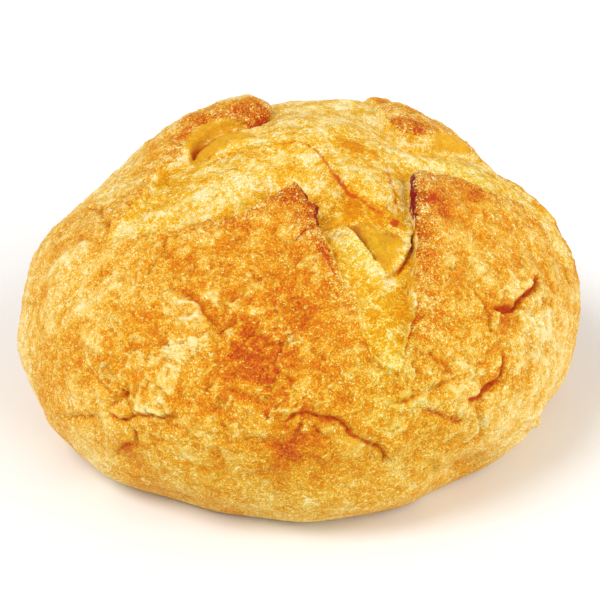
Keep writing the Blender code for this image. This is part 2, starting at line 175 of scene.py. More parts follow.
# Folds of the burst dough between the panels: how far from the line the step starts and ends (the dough
# is higher on the right of the line as it is walked), how far it is felt on the low and on the high side,
# how much it leans over, and the line's points with the height of the step there.
FOLDS = {
    "tongue_front": ((-4, 0.4, 9, 9, 0.1), [
        (32.5, -23, 0.6), (28.8, -22.2, 2.6), (23, -23, 3.4), (18.8, -20.4, 3.2), (15.8, -16.6, 2.8),
        (12.3, -9.5, 2.2), (9.4, -2, 1.8), (6.6, 5.6, 1.5), (2, 9.6, 1.2), (-4, 10.6, 0.9),
        (-11, 11.2, 0.5),
    ]),
    "tongue_right": ((-2.5, 0.5, 4, 5, 0), [
        (28.5, 7.5, 0.3), (32, 2.4, 0.8), (33, -7, 1), (34.2, -15, 1), (34, -21, 0.6),
    ]),
    "torn_strip": ((-0.4, 1.2, 7, 5, 0.35), [
        (12.6, -30.2, 0.5), (15.4, -30.8, 1.6), (17.2, -33.8, 3.2), (18.9, -37.2, 4), (21.1, -40.8, 3.8),
        (23.8, -44.1, 3.2), (26.8, -46.8, 2.2), (29.2, -50.2, 1.2), (31, -53.4, 0.3),
    ]),
    "pocket_rim": ((-0.4, 0.9, 1.6, 6, 0.4), [
        (36, -20, 0.6), (36.8, -26, 1.8), (36.2, -33, 2.6), (35, -39, 2.9), (33.4, -43.6, 2.8),
        (31.8, -46.6, 2.2), (30.4, -49.4, 1.4), (29.4, -52, 0.4),
    ]),
    "under_layer": ((-3, 1.5, 5, 6, 0.1), [
        (-12, 13.6, 0.4), (-17.2, 16, 1.3), (-21.4, 16.4, 1.8), (-25.6, 17, 1.9), (-29.4, 17.4, 1.6),
        (-33.2, 16.4, 0.8),
    ]),
    "low_layer": ((-0.8, 1.2, 4, 4, 0.2), [
        (-18.5, 12.6, 0.3), (-22.5, 11.7, 0.9), (-25.8, 10, 1.2), (-28.7, 8.5, 1), (-31, 6.8, 0.3),
    ]),
    "ledge": ((-0.6, 1, 3, 4, 0.2), [(36.6, -60, 0.3), (38.2, -56.5, 0.9), (39.2, -53, 0.6)]),
}
FOLD_ENDS = 0.08  # a fold fades over this share of its length at each end

# Creases pinched into the crust while it rose: depth, width, how dark they are (the darkest are above 1),
# and the line's points. Their dark is partly red-brown browning and partly painted shade at the bottom of
# the crease; the contact lines marked below are painted shadow. Where depth and darkness are below zero,
# the line is a curled flake: it stands up and is pale.
CREASES = {
    "arm_tip": (1.1, 0.9, 0.7, [
        (-78, 12), (-73, 8.8), (-68.5, 1.7), (-66.4, -7), (-64, -14.5), (-61.6, -22),
    ]),
    "left_fold": (1, 0.8, 0.8, [
        (-42, -51), (-38.3, -55), (-34.4, -58.2), (-32.3, -61.2), (-30.6, -64.7), (-27.7, -68.5),
        (-24.4, -73.6),
    ]),
    "upper_fold": (0.9, 1, 0.8, [(-27, -74.4), (-25.4, -73.5), (-23.3, -72.5), (-20, -70.4)]),
    "middle_fold": (0.8, 1, 0.7, [
        (-21, -76.4), (-16.3, -76.7), (-13.3, -76.8), (-10, -78.1), (-6.4, -81),
    ]),
    "middle_fold_low": (0.9, 1, 0.7, [
        (-12.4, -82.6), (-9.1, -85.4), (-7, -88), (-4.6, -90.8), (-2.3, -92.8), (1.4, -92),
    ]),
    "toasted_dash": (0.6, 0.9, 0.7, [(4.6, -79.4), (5.8, -80.6), (8.4, -83.9), (9.4, -85)]),
    "toasted_band": (0.7, 1.3, 0.6, [(-25, -93), (-18.7, -94.3), (-14.2, -97), (-9, -99.8)]),
    "belly": (1.5, 1, 1, [
        (-9, -107.4), (-5.7, -106), (-3.4, -104.4), (-1, -102.2), (4.9, -102.8), (9.6, -104.1),
        (14.8, -104.5), (17.5, -106.4), (20.4, -109.2), (25.6, -110.2), (29.5, -110.8), (33.4, -112),
        (36, -116), (36.4, -121),
    ]),
    "low_left": (1.3, 1.1, 0.9, [
        (-76, -88), (-72, -89.2), (-68, -92.6), (-61, -93.8), (-55.8, -95.2), (-47.6, -97.5),
        (-40, -99.2),
    ]),
    "low_left_rise": (0.9, 0.9, 0.7, [
        (-75, -86.6), (-72, -87), (-66, -85.6), (-62, -84.6), (-60.6, -80.6),
    ]),
    "low_left_drop": (1, 1.2, 0.8, [
        (-66.5, -93.5), (-64.8, -98), (-66, -103), (-75.6, -101.4), (-84, -104.4),
    ]),
    "left_line": (0.9, 1.1, 0.6, [(-104, -75.5), (-91, -81.7), (-82.4, -85.6), (-77, -87.6)]),
    "right_fork": (1.2, 1, 0.7, [
        (58.6, -48.8), (63.6, -51.2), (65.6, -54.2), (66.2, -58.6), (68.8, -62.4),
    ]),
    "right_cheek": (2.4, 1.1, 1.8, [
        (65, -52.6), (72.2, -49), (76.4, -47.4), (79, -41.8), (82.3, -34.4), (83.6, -30), (88.4, -22.4),
    ]),
    "right_cheek_drop": (0.9, 1, 0.6, [
        (78.6, -47.6), (82, -49.8), (86.4, -51.8), (88.6, -54.6), (89.6, -58),
    ]),
    "right_ripple": (0.7, 1.1, 0.6, [(86.4, -34.6), (92, -31), (96.4, -29)]),
    "right_low": (1.7, 1.1, 1.35, [
        (60.6, -88), (64.2, -86.4), (68.1, -84), (72.4, -79.2), (75.4, -75), (75.4, -70.6), (73.2, -64),
    ]),
    "right_low_drop": (0.9, 1, 0.6, [(66.4, -86.4), (72, -91), (79, -96), (74.4, -100.6), (67.6, -105)]),
    "right_thin": (0.9, 0.9, 0.7, [(43.4, -76), (49.4, -78), (53, -80), (58, -81.8)]),
    "right_long": (0.9, 1, 0.7, [
        (31.4, -97.4), (37.6, -94.6), (43.8, -90.7), (49.2, -86.9), (54.6, -83.2), (59.4, -80.6),
    ]),
    "right_shelf": (1.1, 1.2, 0.9, [(43.6, -95.6), (51.2, -95.9), (57.2, -95.7), (65.4, -94)]),
    "bottom_nick": (0.6, 1.1, 0.3, [(56.5, -111), (62, -114), (65.5, -119)]),
    "far_right": (1.2, 1.3, 0.6, [(93, 6), (100.5, 1), (103.5, -10.5)]),
    "ear_crack": (0.9, 0.9, 0.8, [(6, -34.6), (3.6, -37.4), (1.2, -40.6), (-0.4, -43.6)]),
    "ear_cheek": (0.7, 1, 0.9, [(6.6, -40), (8.4, -46), (10.6, -52), (13, -58)]),
    "panel_nick": (0.9, 1, 0.6, [(-43, -31.5), (-43.5, -37), (-42, -42)]),
    "panel_nick_low": (0.9, 1, 0.6, [(-45.5, -37), (-47, -42), (-49.5, -46.5)]),
    "left_dent": (0.7, 1.2, 0.4, [(-96, -20), (-89, -24), (-83, -25), (-82.5, -20.5)]),
    "tail_crease": (1, 0.9, 0.6, [(23, -82.6), (27, -85), (31.8, -85.6), (36.4, -87.4)]),
    "far_left_nick": (1, 1.1, 0.6, [(-116, -3), (-107, -15.5), (-99.5, -23)]),
    "tongue_crest": (0.4, 0.7, 0.95, [
        (34.5, -27), (31, -25), (28.2, -23.6), (22.8, -23.8), (19, -20.8), (15.9, -16.8), (12, -10.4),
        (9, -2.8), (6.8, 4.4), (2, 8.6), (-5, 10.4), (-12, 11),
    ]),
    # painted shadow: the dark of this line stands for the shade where the torn strip meets the pocket
    "pocket_contact": (1.3, 0.9, 1, [
        (14.6, -29.8), (17.4, -30.9), (19, -33.4), (20.7, -36.8), (22.8, -40.4), (25.4, -43.8),
    ]),
    "tongue_side_line": (0.3, 0.9, 0.85, [
        (27.5, 7.5), (29.3, -3), (31.2, -13), (32.4, -18), (32.6, -22),
    ]),
    # painted shadow: the dark of this line stands for the shade in the cut beside the pocket's rim
    "rim_line": (0.3, 0.7, 1, [
        (37.2, -28), (37, -33), (36.4, -37.5), (35.2, -41.6), (33.6, -45.6), (32.2, -48.9),
    ]),
    "ear_mark": (0.4, 0.9, 1.2, [(38.8, -21.6), (40.4, -20.2), (42.5, -18.2), (45, -14)]),
    "low_left_branch": (0.8, 0.8, 0.6, [(-63.5, -82.7), (-63.9, -86), (-62.5, -90.3), (-61.6, -95.4)]),
    "tail_side": (0.8, 0.6, 0.7, [
        (39.4, -56), (40.6, -61.6), (40.3, -67.6), (38.8, -72.4), (37, -78.6), (35.6, -84),
    ]),
    "curl": (-0.9, 0.7, -1.4, [
        (-40, -58.6), (-37, -59.7), (-33.6, -61), (-32.2, -63.4), (-33.8, -66), (-37, -66.8),
        (-41, -65.4),
    ]),
    "curl_small": (-0.5, 0.6, -1, [(-31, -52.4), (-28.4, -51.6), (-26, -50.2), (-23, -49.2)]),
    "oval_rim": (-0.8, 0.7, -1.2, [
        (-50.4, -85.3), (-53.1, -83.6), (-56.9, -87.1), (-59.6, -90.4), (-57.6, -92.6), (-53.2, -93.2),
        (-47, -96.4), (-48.9, -90.6), (-50.6, -86),
    ]),
    "right_curl": (-0.5, 0.6, -1, [(43.6, -90), (42.4, -93.4), (41, -97.4), (42.4, -101)]),
    "right_curl_low": (-0.5, 0.6, -1, [(70.6, -91), (73.6, -95.4), (72, -100), (68, -102.6)]),
    # painted shadow: the dark of this line stands for the shade at the foot of the back-left ear
    "ear_contact": (1.2, 1.2, 1.15, [
        (-38.2, 17.6), (-35.4, 22.6), (-32.4, 27.2), (-28.6, 30), (-24, 30.2), (-19, 30), (-14, 32),
        (-10.6, 34.6), (-7, 38.6),
    ]),
    # painted shadow: the dark of this line stands for the shade where the folded layers under the back-left
    # ear meet
    "layer_contact": (0.8, 0.7, 0.7, [(-31, 8), (-28.4, 9.4), (-25.6, 10.8), (-22.2, 12.6), (-18, 13.4)]),
    "crest_heart": (0.2, 0.8, 1.2, [(11, -8.4), (13.6, -13), (15.9, -16.8), (18, -19.6), (21, -22.4)]),
    "red_spot": (0.3, 1.1, 1.8, [(30.6, -27.6), (31.6, -25.9), (32, -24.4), (31.8, -22.8)]),
    "arm_strand": (0.5, 0.8, 0.3, [(-46, 12), (-43, 4), (-41, -4), (-38, -12)]),
    "arm_dash": (0.7, 0.8, 0.4, [(-36.8, -12), (-35.6, -18), (-33.8, -24)]),
}
CREASE_PUFF = 0.35  # the crust swells beside a crease by this share of its depth
CREASE_PUFF_WIDTH = 3.5
CREASE_TILT = 0.6
CREASE_ENDS = 0.15  # a crease fades over this share of its length at each end

# Blisters that dried to a ring: x, y, half length, half width, turn in degrees, height of the rim.
BLISTERS = {
    "oval_left": (-67.6, -76.4, 2.6, 4.2, 10, 1.1),
    "front_low": (-10.5, -95.0, 2.6, 2.0, 30, 0.8),
    "right": (62.4, -92.6, 2.0, 2.6, 0, 0.5),
}
BLISTER_RING = 0.17  # half width of the ring, as a share of the blister's
BLISTER_FLOOR = 0.6  # how far the floor is sunk, as a share of the rim's height

# Puffed unevenness of the whole crust: size of the puffs, height, seed.
PUFFS = [(46, 2.0, 3), (21, 1.1, 8)]
# Rounded pads with creases between them: size, height, seed, and how much the pads are drawn out sideways.
PADS = [(15, 2.5, 21, 1.0), (8, 1.6, 22, 1.6), (4.2, 1.2, 23, 1.3), (2.2, 0.7, 26, 1.0)]
# Thin dried plates with a step at their edge: size, height, seed.
FLAKES = [(9.0, 1.0, 24), (4.5, 0.8, 25)]
# Where the crust is puckered more than elsewhere: x, y, radius, strength.
PUCKERED = [
    (-52, -84, 28, 0.3), (-5, -92, 24, 0.3), (62, -84, 26, 0.3), (80, -45, 18, 0.4), (-20, -66, 18, 0.3),
]
PUCKER_EVERYWHERE = 0.55
# Raggedness of every cut, fold and crease: size, how far they stray, seed.
WOBBLES = [(12.0, 1.1, 31), (4.0, 0.6, 41), (1.8, 0.25, 44)]
# Grain of the crust, and strands of torn dough beside the panels: size, height, seed.
GRAIN = (1.5, 0.12, 61)
STRANDS = (1.1, 0.14, 71)
EDGE_WALK = 600  # a little under the length of the cut's edge, which is about 660
STRAND_LENGTH = 6  # how much longer than wide a strand is
STRAND_REACH = 6
# How much calmer the relief is on the crumb, on bare dough and low on the flank, and the grain on bare dough.
CALM_CRUMB, CALM_BARE, CALM_FLANK, CALM_GRAIN = 0.45, 0.8, 0.6, 0.7
LOW_FLANK = (105, 135)  # from the top, where the low flank starts and where it is calmest
CRUMB_EDGE = 0.5
BARE_FACE = (0.5, 2)  # a face of bare dough this wide starts to show, and this wide shows wholly
CURLED = (0.05, 0.3)  # how much a plate tilts where its edge starts to curl, and where it is pale
CURL_PALE = 1.2

# Toasted places of the crust, paler ones, and places of smooth bare dough: x, y, radius, strength. A few
# toasted places are painted shadow and a few pale ones painted light, as marked below.
TOASTED = [
    (-12, -88, 15, 0.27), (-2, -117, 12, 0.34), (0, -28, 7, 0.26), (-15, -65, 12, 0.08),
    (30, -66, 9, 0.14), (30, -80, 9, 0.1), (18, 7, 9, 0.2), (-14, 37, 6, 0.2), (15.7, -96.4, 6, 0.12),
    (4.5, -28, 4, 0.2), (-16.5, 37.5, 4, 0.32), (-24, 38.5, 4, 0.28), (-29, 31, 6, 0.18),
    (112, 6, 14, 0.14), (100, 28, 12, 0.14), (-73, -103, 4, 0.3), (-34, 40, 5, 0.25),
    (-39.5, 30, 4, 0.25), (-48.5, 31.5, 5, 0.2), (42, -14, 8, 0.3), (46, -22, 6, 0.14), (55, 3, 7, 0.22),
    (38.6, 31.5, 4, 0.26), (40, 36, 4, 0.14), (31.8, 35.5, 2, 0.3), (19, 10, 6, 0.25),
    (-6, -64, 16, 0.16), (7.5, -74, 13, 0.13), (-51.8, -60.4, 3, 0.25), (-18, -36, 10, 0.12),
    (19, -104, 10, 0.06), (69, -48, 7, 0.12), (27, -25.4, 4, 0.5), (20.6, -25, 4, 0.5),
    (16, -20.5, 3, 0.4), (12, -14, 3, 0.28), (9, -5, 3, 0.2), (19.5, 9.5, 3, 0.3), (24.4, -57.1, 4, 0.18),
    # painted shadow: the spots at x 18.8, 20.2 and 21.6 darken the pocket where the torn strip stands in
    # front of it
    (31.8, -25.4, 1.4, 0.8), (18.8, -31.8, 2, 0.5), (20.2, -34.4, 1.6, 0.5), (21.6, -37.8, 1.3, 0.4),
    (31, -31.6, 2, 0.3), (33.4, 2, 3, 0.2), (-65, -38, 5, 0.16), (-69, -42, 5, 0.14),
    (-50.6, -61.6, 4, 0.14),
]
PALE = [
    # painted light: the rows at (-110, -100) and (0, -166) brighten the lower flank and the sole's rim where
    # the real light falls off
    (-72, -47, 6, 0.22), (-83, -39, 10, 0.14), (93, -48, 13, 0.12), (-124, -24, 22, 0.22),
    (-132, -54, 14, 0.24), (-110, -100, 18, 0.28), (100, -130, 18, 0.15), (-66, 26, 16, 0.2),
    (-46, 40, 9, 0.16), (-103, 8, 16, 0.14), (-80, 46, 18, 0.22), (-60, 54, 12, 0.14), (-18, 47, 6, 0.3),
    (-30, 49, 7, 0.2), (120, -44, 26, 0.24), (0, -166, 40, 0.12), (112, -86, 20, 0.16),
    (-22, -65, 4, 0.22), (-36, -17, 7, 0.16), (-24, -17.5, 7, 0.16), (83, -87, 14, 0.16),
    (63, -87, 8, 0.06), (-70, -30, 16, 0.06), (28.3, 38.7, 4, 0.15), (35.2, 27.5, 4, 0.15),
    (36.8, -20.5, 1.5, 0.5), (36.6, -24.5, 1.5, 0.5), (35.6, -28.8, 1.5, 0.5), (35, -33.2, 1.5, 0.5),
    (34, -37.6, 1.5, 0.5), (32.4, -42.2, 1.4, 0.5), (30.8, -45.8, 1.4, 0.4), (36.8, -14, 3, 0.3),
    (36.6, -7, 3, 0.3), (36.8, 0, 3, 0.25), (12.6, -33.6, 3, 0.3), (-12.4, -40.4, 3, 0.2),
    (31, -51, 1, 0.6), (13.7, -38.3, 3, 0.15), (-60, 6, 10, 0.12),
]
BARE = [
    (19.6, -31.4, 3.4, 0.9), (23, -35.6, 4.2, 1), (25.2, -30.4, 3.2, 0.65), (30.6, -31.6, 3.2, 0.55),
    (30, -36.4, 4.2, 1), (27.6, -41.6, 3.8, 1), (29.2, -46.6, 3, 0.9), (-31.5, 20, 4, 1.1),
    (-27, 20.8, 4.5, 1.1), (-22, 20.4, 4.5, 1.1), (-16.5, 21.4, 4, 1), (-30, 26, 2.6, 0.9),
    (-26, 26, 2.6, 0.9), (-21, 25.5, 2.6, 0.9), (-19, 32, 2.5, 0.8), (-23.5, 31.8, 2.5, 0.9),
    (-28, 31.8, 2.8, 0.9), (-32, 28.6, 2.5, 0.8), (-35, 24, 2.2, 0.8), (-23, 35.4, 2.5, 0.8),
    (-53, -89, 3, 0.5), (49.3, 34.6, 3, 0.8), (55, 38.6, 2.5, 0.6), (27.6, -80.7, 2.6, 0.7),
    (11.3, -30.4, 2.2, 0.8), (-47, -10, 3, 0.7), (-36, 18, 2, 0.8),
]
# Where the crust is more olive than golden.
OLIVE = [
    (60, 18, 14, 0.5), (24, -38, 7, 0.7), (29, -70, 14, 0.2), (32, -92, 18, 0.6), (0, -134, 30, 0.6),
    (-55, -126, 30, 0.5), (60, -118, 30, 0.4), (62, -60, 20, 0.3), (20, -45, 8, 0.4),
]
TOAST_START = 0.44
TOAST_RELIEF = 0.15  # how much paler a place is for each millimetre that its pads and plates stand up: partly the crust's own paler crests, partly painted shade in the low places between them
# painted shade: creases darken the crust's tone by this share of their dark, and curled flakes are paler by
# it
TOAST_SEAM = 0.15
TOAST_LIP = 0.30
FULL_LIP = 5  # a lip of this height is toasted by TOAST_LIP, and a lower one by less
TOAST_LIP_REACH = 6
TOAST_DRIFT = (24, 0.08, 51)
BURN_REACH = 1.1
EAR_REACH = 7
FULL_HOLLOW = 6  # how far the burst sinks where the painted shade on its crumb is fullest


def smooth(low, high, value):
    """0 below low, 1 above high, and an S curve between them."""
    share = np.clip((value - low) / (high - low), 0, 1)
    return share * share * (3 - 2 * share)


def bells(plan, rows):
    """A sum of round swellings: each one's height times e to the minus (distance over radius) squared."""
    total = np.zeros(len(plan))
    for x, y, radius, height in rows:
        total += height * np.exp(-((plan[:, 0] - x) ** 2 + (plan[:, 1] - y) ** 2) / radius**2)
    return total


def gradient_noise(points, size, seed):
    """Smooth unevenness from about -1 to 1: in each cell of a lattice of the given size, slopes at the
    eight corners are blended with a quintic ease."""
    random = np.random.default_rng(seed)
    table = np.tile(random.permutation(256), 3)
    slopes = np.array([s for s in itertools.product((-1, 0, 1), repeat=3) if np.abs(s).sum() == 2])
    place = points / size + random.uniform(0, 50, 3)
    cell = np.floor(place).astype(int)
    part = place - cell
    cell &= 255
    ease = part**3 * (part * (part * 6 - 15) + 10)
    total = np.zeros(len(points))
    for corner in itertools.product((0, 1), repeat=3):
        x, y, z = (cell + corner).T
        slope = slopes[table[table[table[x] + y] + z] % len(slopes)]
        weight = np.where(corner, ease, 1 - ease).prod(axis=1)
        total += weight * ((part - corner) * slope).sum(axis=1)
    return 1.4 * total


def noise_vector(points, size, seed, count):
    """Several columns of unevenness, with seeds in a row."""
    return np.stack([gradient_noise(points, size, seed + i) for i in range(count)], axis=1)


def pads(points, size, seed, drawn_out):
    """Rounded pads with creases between them, from about -0.5 to 0.5: the square root of an unevenness
    without its sign, which turns sharply where that is zero. It fades in and out over the crust."""
    warped = points + 0.3 * size * noise_vector(points, size, seed, 3)
    warped = warped / (drawn_out, 1, 1)
    rounded = np.sqrt(np.abs(gradient_noise(warped, size, seed + 40)) + 0.004)
    return (rounded - 0.5) * smooth(-0.5, 0.3, gradient_noise(points, 2.5 * size, seed + 50))


def flakes(points, size, seed):
    """Thin plates that meet like scales: every place belongs to the nearest of the points scattered one
    to a cell of a lattice, and each plate tilts its own way, so there is a step where two meet. Gives the
    height, from about -0.5 to 0.5, and how close each place is to the step, from 0 to 1."""
    random = np.random.default_rng(seed)
    table = np.tile(random.permutation(256), 3)
    middles, tilts = random.uniform(0, 1, (256, 3)), random.uniform(-1, 1, (256, 3))
    place = points / size + 0.3 * noise_vector(points, 0.6 * size, seed, 3)
    cell = np.floor(place).astype(int)
    nearest_two = np.full((2, len(points)), np.inf)
    height = np.zeros(len(points))
    for corner in itertools.product((-1, 0, 1), repeat=3):
        x, y, z = ((cell + corner) & 255).T
        plate = table[table[table[x] + y] + z]
        offset = place - cell - corner - middles[plate]
        far = np.linalg.norm(offset, axis=1)
        height = np.where(far < nearest_two[0], (tilts[plate] * offset).sum(axis=1), height)
        nearest_two = np.sort(np.concatenate([nearest_two, far[None]]), axis=0)[:2]
    return height, 1 - smooth(0.05, 0.30, nearest_two[1] - nearest_two[0])


def curve_through(rows, closed=False, steps=6):
    """A smooth line through the rows (a Catmull-Rom curve), with every column of a row carried along."""
    rows = np.asarray(rows, float)
    if closed:
        rows = np.concatenate([rows[-1:], rows, rows[:2]])
    else:
        rows = np.concatenate([2 * rows[:1] - rows[1:2], rows, 2 * rows[-1:] - rows[-2:-1]])
    before, start, end, after = rows[:-3], rows[1:-2], rows[2:-1], rows[3:]
    t = np.linspace(0, 1, steps, endpoint=False)[:, None, None]
    line = 2 * start + (end - before) * t
    line = line + (2 * before - 5 * start + 4 * end - after) * t**2
    line = (line + (3 * start - before - 3 * end + after) * t**3) / 2
    return np.concatenate([line.transpose(1, 0, 2).reshape(-1, rows.shape[1]), end[-1:]])


def nearest_of_block(plan, line):
    """What nearest gives, for one block of places."""
    start, step = line[:-1, :2], np.diff(line[:, :2], axis=0)
    length = np.hypot(step[:, 0], step[:, 1])
    walked = np.concatenate([[0], np.cumsum(length)])
    offset = plan[:, None] - start
    share = np.clip((offset * step).sum(axis=2) / length**2, 0, 1)
    gaps = np.linalg.norm(offset - share[:, :, None] * step, axis=2)
    piece = gaps.argmin(axis=1)
    row = np.arange(len(plan))
    gap = gaps[row, piece]
    side = np.sign(step[piece, 0] * offset[row, piece, 1] - step[piece, 1] * offset[row, piece, 0])
    share = share[row, piece]
    point = start[piece] + share[:, None] * step[piece]
    along = (walked[piece] + share * length[piece]) / walked[-1]
    to_left = np.stack([-step[:, 1], step[:, 0]], axis=1) / length[:, None]
    weight = np.exp((gap[:, None] - gaps) / BLEND) * length
    carried = np.concatenate([to_left, (line[:-1, 2:] + line[1:, 2:]) / 2], axis=1)
    values = weight @ carried / weight.sum(axis=1, keepdims=True)
    return gap, side, point, along, values


def nearest(plan, line):
    """For each place: its distance to the line, its side (+1 on the left), the nearest point, how far
    along the line that is (0 to 1), the way to the line's left, and the line's other columns there. The
    last two are evened out over BLEND, weighted by e to the minus distance."""
    blocks = np.array_split(plan, len(plan) // BLOCK + 1)
    *found, values = (np.concatenate(part) for part in zip(*(nearest_of_block(b, line) for b in blocks)))
    return *found, values[:, :2], values[:, 2:].T


def close_to(plan, line, reach):
    """Which places lie within reach of the line's box, as an index."""
    low, high = line[:, :2].min(axis=0) - reach, line[:, :2].max(axis=0) + reach
    return np.nonzero(((plan > low) & (plan < high)).all(axis=1))[0]


def tapered(along, share):
    """1 along a line, falling to 0 at both ends over this share of it."""
    return smooth(0, share, along) * smooth(0, share, 1 - along)


def inside(plan, line):
    """Whether each place lies inside the closed line, by counting the crossings to its right."""
    found = np.zeros(len(plan), bool)
    for (x0, y0), (x1, y1) in zip(line[:-1, :2], line[1:, :2]):
        if y0 != y1:
            crosses = (y0 > plan[:, 1]) != (y1 > plan[:, 1])
            found ^= crosses & (plan[:, 0] < (x1 - x0) * (plan[:, 1] - y0) / (y1 - y0) + x0)
    return found


class PlainLoaf:
    """The loaf before it is cut and puffed, in millimetres: a dome over a tucked flank and a flat sole."""

    def __init__(self, form, count=400):
        """The side view from the top's middle over the dome, the flank and the sole to its middle: the
        dome's height falls with a power of the cosine of its turn, the flank is a quarter ellipse."""
        turn = np.linspace(0, np.pi / 2, count)
        half, widest_at = form.width / MM / 2, form.widest_at / MM
        sole = half * form.sole_share
        rise = form.height / MM - widest_at
        dome = [half * np.sin(turn), widest_at + rise * np.cos(turn) ** form.shoulder]
        flank = [sole + (half - sole) * np.cos(turn), widest_at * (1 - np.sin(turn))]
        bottom = [sole * (1 - turn / turn[-1]), 0 * turn]
        side = np.concatenate([dome, np.array(flank)[:, 1:], np.array(bottom)[:, 1:]], axis=1)
        self.radius, self.height = side
        self.walked = np.concatenate([[0], np.cumsum(np.hypot(*np.diff(side, axis=1)))])
        self.to_rim = self.walked[np.argmax(self.height < 1e-6)]
        self.squeeze = form.depth / form.width

    def place(self, plan):
        """Points at these places of the plan, and the outward directions there: the side view turned
        about the upright axis and squeezed from front to back."""
        walked = np.hypot(plan[:, 0], plan[:, 1])
        turn = np.arctan2(plan[:, 1], plan[:, 0])
        radius = np.interp(walked, self.walked, self.radius)
        height = np.interp(walked, self.walked, self.height)
        out = np.interp(walked, self.walked, np.gradient(self.radius, self.walked))
        down = np.interp(walked, self.walked, np.gradient(self.height, self.walked))
        cos, sin, squeeze = np.cos(turn), np.sin(turn), self.squeeze
        points = np.stack([radius * cos, squeeze * radius * sin, height], axis=1)
        normals = np.stack([-down * cos * squeeze, -down * sin, out * squeeze], axis=1)
        return points, normals / np.linalg.norm(normals, axis=1, keepdims=True)

    def plan_of(self, ball):
        """The place on the plan for each point of the unit ball: its turn from the top becomes a walk."""
        turn = np.arccos(np.clip(ball[:, 2], -1, 1))
        walked = np.interp(turn, [0, SOLE_TURN, np.pi], [0, self.to_rim, self.walked[-1]])
        flat = np.hypot(ball[:, 0], ball[:, 1])
        return ball[:, :2] * (walked / np.maximum(flat, 1e-9))[:, None]

    def fade(self, plan):
        """1 on the crust, falling to 0 at the sole's rim."""
        return smooth(0, RIM_FADE, self.to_rim - np.hypot(plan[:, 0], plan[:, 1]))


def gridded_ball(cells):
    """A unit ball from a cube whose faces are square grids of cells by cells: each grid runs over two
    parameters from -1 to 1, evened out by the tangent, and the shared edges are merged."""
    steps = np.arange(cells + 1)
    a, b = (grid.ravel() for grid in np.meshgrid(steps, steps, indexing="ij"))
    low, high = np.zeros_like(a), np.full_like(a, cells)
    sides = [(high, a, b), (low, b, a), (b, high, a), (a, low, b), (a, b, high), (b, a, low)]
    lattice = np.concatenate([np.stack(side, axis=1) for side in sides])
    lattice, merged = np.unique(lattice, axis=0, return_inverse=True)
    corner = merged.reshape(len(sides), cells + 1, cells + 1)
    rounds = (corner[:, :-1, :-1], corner[:, 1:, :-1], corner[:, 1:, 1:], corner[:, :-1, 1:])
    faces = np.stack(rounds, axis=-1).reshape(-1, 4)
    ball = np.tan((2 * lattice / cells - 1) * np.pi / 4)
    return ball / np.linalg.norm(ball, axis=1, keepdims=True), faces


def drawn_to_crown(ball):
    """Moves points of the ball over it so that they lie closer together on the crown: a conformal
    map of the ball that scales the crown by CLOSE_UP and the far side by its inverse."""
    crown = np.array(CROWN_SIDE) / np.linalg.norm(CROWN_SIDE)
    along = ball @ crown
    across = ball - along[:, None] * crown
    scale = (1 + along) + CLOSE_UP**2 * (1 - along)
    moved = (1 + along) - CLOSE_UP**2 * (1 - along)
    return (moved[:, None] * crown + 2 * CLOSE_UP * across) / scale[:, None]


def cut_edge():
    """The closed line along the edges of the four panels."""
    return curve_through(FRONT_PANEL + RIGHT_PANEL + BACK_RIGHT_PANEL + BACK_LEFT_PANEL, closed=True)


def traced(loaf, ball):
    """Each point's place on the plan, and the place that its features are read from: strayed a little, so
    that every line is ragged, and drawn to the cut's edge where it is close."""
    plan = loaf.plan_of(ball)
    place, _ = loaf.place(plan)
    stray = sum(reach * noise_vector(place, size, seed, 2) for size, reach, seed in WOBBLES)
    trace = plan + stray
    gap, _, point, *_ = nearest(trace, cut_edge())
    trace = point + (trace - point) * np.minimum(gap / EDGE_PULL, 1)[:, None]
    return trace - stray, trace


def cross_cut(plan):
    """The cut's relief and lean: a lip along each panel's edge that leans over the cut, a wall that drops
    back under it, and the dough that rises again behind it. Also how far each place lies in from the
    edge, how far along it, and what the edge's row says of the lip, the bare dough and the burnt edge."""
    edge = cut_edge()
    gap, _, _, along, to_burst, (lip, depth, roll, bare, burnt) = nearest(plan, edge)
    burst = inside(plan, edge)
    start = LIP_START * np.sqrt(SHORT_ROLL / roll)
    rising = start + (1 - start) * np.sin(np.pi / 2 * np.clip(gap / roll, 0, 1))
    crust = lip * rising * np.exp(-((np.clip(gap - roll, 0, None) / LIP_TAIL) ** 2))
    wall = smooth(0, CUT_WALL, gap)
    beyond = np.clip(gap - CUT_WALL, 0, None)
    dough = start * lip * (1 - wall) - depth * wall * np.exp(-((beyond / CUT_REACH) ** 2))
    lean = np.where(burst, 1 - UNDERCUT * wall, 1) * np.exp(-np.where(burst, beyond, gap) / LIP_LEAN)
    shift = (LIP_OVERHANG * lip * lean)[:, None] * to_burst
    return np.where(burst, dough, crust), shift, np.where(burst, -gap, gap), along, lip, bare, burnt


def fold(plan, profile, rows):
    """A step in the dough, up from low to high across the line and level again further off, and how far
    the raised side leans over the low one."""
    low, high, low_reach, high_reach, lean = profile
    line = curve_through(rows)
    height, shift = np.zeros(len(plan)), np.zeros((len(plan), 2))
    near = close_to(plan, line, 2.5 * (max(low_reach, high_reach) + high - low))
    gap, side, _, along, to_left, (step,) = nearest(plan[near], line)
    step = step * tapered(along, FOLD_ENDS)
    across = -side * gap
    up = smooth(low, high, across)
    beyond = np.maximum(low - across, 0) / low_reach + np.maximum(across - high, 0) / high_reach
    felt = np.exp(-(beyond**2))
    height[near] = step * (up - 0.5) * felt
    shift[near] = (lean * step * up * felt**2)[:, None] * to_left
    return height, shift


